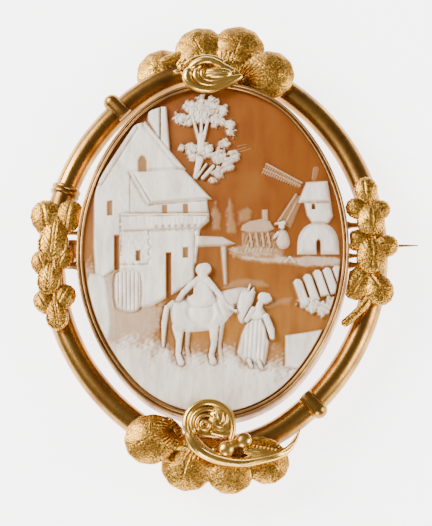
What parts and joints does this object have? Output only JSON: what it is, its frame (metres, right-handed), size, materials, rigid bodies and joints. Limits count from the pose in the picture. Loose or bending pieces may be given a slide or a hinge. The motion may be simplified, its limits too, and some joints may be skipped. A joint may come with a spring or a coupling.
{
  "type": "cameo brooch",
  "caption": "Oval shell cameo carved with a farmyard scene, in a gold tube frame with leaf sprays, scrolls and a hinged pin.",
  "frame": {"origin": "below the middle of the whole brooch, on the surface that it lies on", "axes": "+Z out of the carved face, +Y to the top of the scene, +X to the pin's point"},
  "size_m": [0.0503, 0.0632, 0.0077],
  "materials": {
    "polished_gold": "polished, tarnished brown in the hollows",
    "stippled_gold": "matte stippled, with bright-cut edges",
    "scroll_gold": "polished and engraved",
    "carved_shell": "white relief on an orange brown ground, satin",
    "pin_metal": "drawn and polished"
  },
  "bodies": {
    "brooch": {"frame_tube": "polished_gold", "bezel": "polished_gold", "cameo": "carved_shell", "top_spray": "stippled_gold", "top_scroll": "scroll_gold", "bottom_spray": "stippled_gold", "bottom_scroll": "scroll_gold", "left_spray": "stippled_gold", "right_spray": "stippled_gold", "pin_hinge": "polished_gold", "pin_catch": "polished_gold"},
    "pin": {"pin_stem": "pin_metal"}
  },
  "joints": [
    {"name": "pin_hinge_turn", "type": "hinge", "parent": "brooch", "child": "pin", "pos_m": [-0.01991, 0.00164, 0.00105], "axis": [0, 1, 0], "range_deg": [0, 95]}
  ]
}
